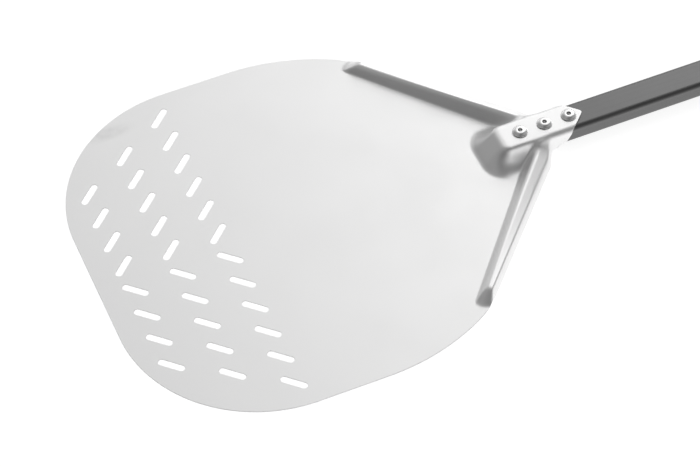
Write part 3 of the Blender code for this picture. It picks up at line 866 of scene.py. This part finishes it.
class Surface:
    """A principled material whose colour, roughness and relief come from procedural nodes."""

    def __init__(self, name, metallic):
        self.mat = bpy.data.materials.new(name)
        self.mat.use_nodes = True
        self.tree = self.mat.node_tree
        self.shader = self.tree.nodes["Principled BSDF"]
        self.shader.inputs["Metallic"].default_value = metallic
        self.place = self.node("ShaderNodeTexCoord").outputs["Object"]

    def node(self, kind, inputs=(), **settings):
        """A new node; inputs are (name or index, number, colour or another node's output)."""
        node = self.tree.nodes.new(kind)
        for key, value in settings.items():
            setattr(node, key, value)
        for key, value in inputs:
            if isinstance(value, bpy.types.NodeSocket):
                self.tree.links.new(value, node.inputs[key])
            else:
                node.inputs[key].default_value = value
        return node

    def math(self, operation, first, second=0.0):
        node = self.node("ShaderNodeMath", [(0, first), (1, second)], operation=operation)
        return node.outputs[0]

    def stretched(self, scale, turn=0.0):
        """Coordinates scaled along each axis after a turn about Z."""
        mapping = [("Vector", self.place), ("Rotation", (0.0, 0.0, turn))]
        turned_place = self.node("ShaderNodeMapping", mapping).outputs[0]
        mapping = [("Vector", turned_place), ("Scale", scale)]
        return self.node("ShaderNodeMapping", mapping).outputs[0]

    def noise(self, scale, vector=None, detail=3.0):
        inputs = [("Vector", vector or self.place), ("Scale", scale), ("Detail", detail)]
        return self.node("ShaderNodeTexNoise", inputs).outputs["Fac"]

    def spread(self, value, low, high, to_low=0.0, to_high=1.0):
        """The value's part from low to high, spread smoothly over another range."""
        inputs = [(0, value), (1, low), (2, high), (3, to_low), (4, to_high)]
        node = self.node("ShaderNodeMapRange", inputs, interpolation_type="SMOOTHSTEP")
        return node.outputs[0]

    def mixed(self, share, first, second):
        inputs = [(0, share), (6, first), (7, second)]
        return self.node("ShaderNodeMix", inputs, data_type="RGBA").outputs[2]

    def scratches(self, turn, density, length=9.0, fineness=900.0):
        """Thin straight marks along one direction, in patches."""
        lines = self.noise(1.0, self.stretched((length, fineness, fineness), turn), 2.0)
        marks = self.spread(lines, 0.66, 0.72)
        patches = self.spread(self.noise(13.0), 0.62 - density, 0.75 - density)
        return self.math("MULTIPLY", marks, patches)

    def worn_edges(self, low=0.53, high=0.60):
        """High on convex edges, broken up by a fine noise."""
        point = self.node("ShaderNodeNewGeometry").outputs["Pointiness"]
        edge = self.spread(point, low, high)
        return self.math("MULTIPLY", edge, self.spread(self.noise(260.0), 0.35, 0.65))

    def relief(self, height, depth, strength=1.0, below=None):
        """A bump from a height of 0 to 1 that stands for depth metres."""
        inputs = [("Height", height), ("Distance", depth), ("Strength", strength)]
        if below is not None:
            inputs.append(("Normal", below))
        return self.node("ShaderNodeBump", inputs).outputs[0]

    def finish(self, colour, roughness, normal):
        for key, value in (("Base Color", colour), ("Roughness", roughness), ("Normal", normal)):
            self.tree.links.new(value, self.shader.inputs[key])
        return self.mat


def grey(level, warmth=0.0):
    return (level * (1 + warmth), level, level * (1 - warmth), 1.0)


def satin_aluminium():
    """Blasted and anodised sheet: fine grain, faint drift of tone, hairlines and one scuff."""
    s = Surface("satin_anodised", 1.0)
    drift = s.noise(7.0, detail=4.0)
    colour = s.mixed(drift, grey(SKIN_LEVEL * 0.97), grey(SKIN_LEVEL, 0.002))
    along = s.scratches(0.0, 0.10)
    slanted = s.scratches(math.radians(58), 0.06)
    hairlines = s.math("MAXIMUM", along, slanted)
    colour = s.mixed(s.math("MULTIPLY", hairlines, 0.35), colour, grey(0.97))
    away = s.node("ShaderNodeVectorMath", [(0, s.place), (1, SCUFF_PLACE)], operation="SUBTRACT")
    flat = [("Vector", away.outputs[0]), ("Rotation", (0, 0, 0.5)), ("Scale", (1.0, 2.8, 1.0))]
    flat = s.node("ShaderNodeMapping", flat).outputs[0]
    distance = s.node("ShaderNodeVectorMath", [(0, flat)], operation="LENGTH").outputs["Value"]
    scuff = s.math("MULTIPLY", s.spread(distance, 0.026, 0.004), s.noise(210.0))
    colour = s.mixed(s.math("MULTIPLY", scuff, 0.42), colour, grey(0.52))
    grain = s.noise(1500.0, detail=2.0)
    rough = s.spread(s.noise(16.0, detail=5.0), 0.3, 0.7, SKIN_ROUGH - 0.03, SKIN_ROUGH + 0.03)
    rough = s.math("ADD", rough, s.math("MULTIPLY", grain, 0.04))
    rough = s.math("SUBTRACT", rough, s.math("MULTIPLY", hairlines, 0.10))
    normal = s.relief(grain, 0.000012, 0.6)
    normal = s.relief(s.noise(60.0), 0.00004, 0.25, below=normal)
    normal = s.relief(s.math("SUBTRACT", 1.0, hairlines), 0.00001, 0.5, below=normal)
    return s.finish(colour, rough, normal)


def cut_aluminium():
    """The sheared edge of the sheet: fine marks across its thickness."""
    s = Surface("cut_edge", 1.0)
    marks = s.noise(1.0, s.stretched((2600, 2600, 160)), 3.0)
    colour = s.mixed(marks, grey(SKIN_LEVEL * 0.90), grey(SKIN_LEVEL * 1.02))
    rough = s.spread(marks, 0.3, 0.7, 0.22, 0.40)
    return s.finish(colour, rough, s.relief(marks, 0.00003, 0.6))


def black_anodised():
    """Black anodised extrusion: die lines along it, lighter at its ends and where rubbed."""
    s = Surface("black_anodised", 1.0)
    lines = s.noise(1.0, s.stretched((2.2, 1300, 1300)), 4.0)
    cloud = s.noise(24.0, detail=5.0)
    colour = s.mixed(lines, grey(BLACK_LEVEL * 0.93), grey(BLACK_LEVEL * 1.07))
    colour = s.mixed(s.spread(cloud, 0.35, 0.75, 0.0, 0.35), colour, grey(BLACK_LEVEL * 1.2))
    marks = s.scratches(0.06, 0.02, length=26.0, fineness=1500.0)
    across = s.scratches(math.radians(74), -0.02, length=60.0, fineness=1300.0)
    rubbed = s.math("MAXIMUM", marks, across)
    colour = s.mixed(s.math("MULTIPLY", rubbed, 0.35), colour, grey(0.42))
    x = s.node("ShaderNodeSeparateXYZ", [(0, s.place)]).outputs[0]
    front = s.spread(x, TUBE_LOW.x + 0.0016, TUBE_LOW.x + 0.0002)
    rear = s.spread(x, TUBE_HIGH.x - 0.0008, TUBE_HIGH.x - 0.0001)
    bare = s.math("MULTIPLY", s.math("MAXIMUM", front, rear), s.spread(s.noise(700), 0.4, 0.6))
    colour = s.mixed(s.math("MULTIPLY", bare, 0.7), colour, grey(0.6))
    rough = s.spread(cloud, 0.3, 0.7, BLACK_ROUGH - 0.04, BLACK_ROUGH + 0.05)
    rough = s.math("SUBTRACT", rough, s.math("MULTIPLY", rubbed, 0.08))
    normal = s.relief(lines, 0.00001, 0.5)
    normal = s.relief(s.noise(2400.0, detail=2.0), 0.000006, 0.5, below=normal)
    return s.finish(colour, rough, normal)


def turned_aluminium():
    """Rivet body: rings about its axis, small dents, edges polished by setting."""
    s = Surface("turned_aluminium", 1.0)
    flat = s.stretched((1.0, 1.0, 0.0))
    radius = s.node("ShaderNodeVectorMath", [(0, flat)], operation="LENGTH").outputs["Value"]
    ring_place = s.node("ShaderNodeCombineXYZ", [(0, radius)]).outputs[0]
    rings = s.noise(5200.0, ring_place, 2.0)
    blotch = s.noise(420.0, detail=4.0)
    colour = s.mixed(blotch, grey(0.84), grey(RIVET_LEVEL))
    rough = s.spread(blotch, 0.3, 0.7, RIVET_ROUGH - 0.05, RIVET_ROUGH + 0.06)
    rough = s.math("SUBTRACT", rough, s.math("MULTIPLY", s.worn_edges(), 0.05))
    normal = s.relief(rings, 0.000008, 0.5)
    normal = s.relief(s.noise(900.0), 0.00003, 0.25, below=normal)
    return s.finish(colour, rough, normal)


def broken_steel():
    """Mandrel: torn grey steel at its broken face."""
    s = Surface("broken_steel", 1.0)
    torn = s.noise(2600.0, detail=6.0)
    colour = s.mixed(s.spread(torn, 0.35, 0.65), grey(0.20), grey(0.52, 0.01))
    rough = s.spread(torn, 0.3, 0.7, 0.62, 0.40)
    return s.finish(colour, rough, s.relief(torn, 0.00012, 0.8))


def moulded_plastic(name, level, roughness):
    """Black moulding: spark-eroded grain, flow marks, edges rubbed a little lighter."""
    s = Surface(name, 0.0)
    grain = s.noise(2100.0, detail=3.0)
    flow = s.noise(1.0, s.stretched((45, 130, 130)), 4.0)
    colour = s.mixed(flow, grey(level * 0.88), grey(level * 1.15))
    colour = s.mixed(s.math("MULTIPLY", s.worn_edges(), 0.45), colour, grey(level * 2.6))
    scuffs = s.scratches(math.radians(20), 0.0, length=70.0, fineness=1400.0)
    colour = s.mixed(s.math("MULTIPLY", scuffs, 0.5), colour, grey(level * 3.0))
    rough = s.spread(flow, 0.3, 0.7, roughness - 0.05, roughness + 0.06)
    rough = s.math("ADD", rough, s.math("MULTIPLY", scuffs, 0.08))
    normal = s.relief(grain, 0.00004, 0.7)
    normal = s.relief(flow, 0.00008, 0.15, below=normal)
    return s.finish(colour, rough, normal)


def pale_paper():
    """Seamless studio paper, very slightly uneven, lit a little from behind."""
    s = Surface("pale_floor", 0.0)
    fibres = s.noise(700.0, detail=3.0)
    colour = s.mixed(fibres, grey(0.49), grey(0.51))
    s.shader.inputs["Emission Color"].default_value = grey(1.0)
    s.shader.inputs["Emission Strength"].default_value = FLOOR_GLOW
    rough = s.spread(fibres, 0.3, 0.7, 0.86, 0.94)
    return s.finish(colour, rough, s.relief(fibres, 0.00002, 0.2))


def make_materials():
    return {
        "skin": satin_aluminium(),
        "edge": cut_aluminium(),
        "black": black_anodised(),
        "rivet": turned_aluminium(),
        "steel": broken_steel(),
        "cap": moulded_plastic("cap_plastic", 0.030, 0.50),
        "bung": moulded_plastic("bung_plastic", 0.045, 0.62),
    }


# ---------------------------------------------------------------- studio

def make_floor():
    """A floor far wider than the picture, just under the blade."""
    bm = bmesh.new()
    bmesh.ops.create_grid(bm, x_segments=4, y_segments=4, size=FLOOR_HALF)
    mesh = bpy.data.meshes.new("floor")
    bm.to_mesh(mesh)
    bm.free()
    floor = new_object("floor", mesh, pale_paper())
    floor.location.z = FLOOR_LEVEL


def softbox(tree, direction, azimuth, elevation, strength, focus):
    """Strength of one round soft light over the sky, as a lobe about its direction."""
    turn = math.radians(azimuth)
    rise = math.radians(elevation)
    towards = (math.cos(turn) * math.cos(rise), math.sin(turn) * math.cos(rise), math.sin(rise))
    facing = tree.nodes.new("ShaderNodeVectorMath")
    facing.operation = "DOT_PRODUCT"
    tree.links.new(direction, facing.inputs[0])
    facing.inputs[1].default_value = towards
    value = facing.outputs["Value"]
    steps = (("SUBTRACT", 1.0), ("MULTIPLY", focus), ("EXPONENT", None), ("MULTIPLY", strength))
    for operation, amount in steps:
        node = tree.nodes.new("ShaderNodeMath")
        node.operation = operation
        tree.links.new(value, node.inputs[0])
        if amount is not None:
            node.inputs[1].default_value = amount
        value = node.outputs[0]
    return value


def make_world():
    """A dim surround with soft lights on it."""
    world = bpy.data.worlds.new("studio")
    world.use_nodes = True
    bpy.context.scene.world = world
    tree = world.node_tree
    background = tree.nodes["Background"]
    background.inputs["Color"].default_value = (1.0, 1.0, 1.0, 1.0)
    direction = tree.nodes.new("ShaderNodeTexCoord").outputs["Generated"]
    total = None
    for light in STUDIO_LIGHTS:
        add = tree.nodes.new("ShaderNodeMath")
        add.operation = "ADD"
        tree.links.new(softbox(tree, direction, *light), add.inputs[0])
        if total is None:
            add.inputs[1].default_value = SURROUND
        else:
            tree.links.new(total, add.inputs[1])
        total = add.outputs[0]
    tree.links.new(total, background.inputs["Strength"])


def make_camera():
    """The camera, with its axes made square to one another."""
    data = bpy.data.cameras.new("camera")
    data.sensor_width = 36
    data.lens = CAMERA_LENS
    data.clip_end = 50
    camera = bpy.data.objects.new("camera", data)
    bpy.context.scene.collection.objects.link(camera)
    ahead = Vector(CAMERA_AHEAD).normalized()
    right = Vector(CAMERA_RIGHT)
    right = (right - right.dot(ahead) * ahead).normalized()
    up = right.cross(ahead)
    turn = Matrix((right, up, -ahead)).transposed().to_4x4()
    camera.matrix_world = Matrix.Translation(CAMERA_PLACE) @ turn
    bpy.context.scene.camera = camera


def build():
    mats = make_materials()
    make_blade(mats["skin"], mats["edge"])
    make_tube(mats["black"])
    neck_grip = SHEET + GAP + TUBE_WALL
    for place in ("front", "middle", "back"):
        make_rivet(place, neck_grip, NECK_RIVET, mats["rivet"], mats["steel"])
    make_rivet("cap", TUBE_WALL + GAP + CAP_WALL, CAP_RIVET, mats["rivet"], mats["steel"])
    make_cap(mats["cap"])
    make_bung(mats["bung"])
    make_floor()
    make_world()
    make_camera()
    bpy.context.scene.view_settings.view_transform = "Standard"


build()
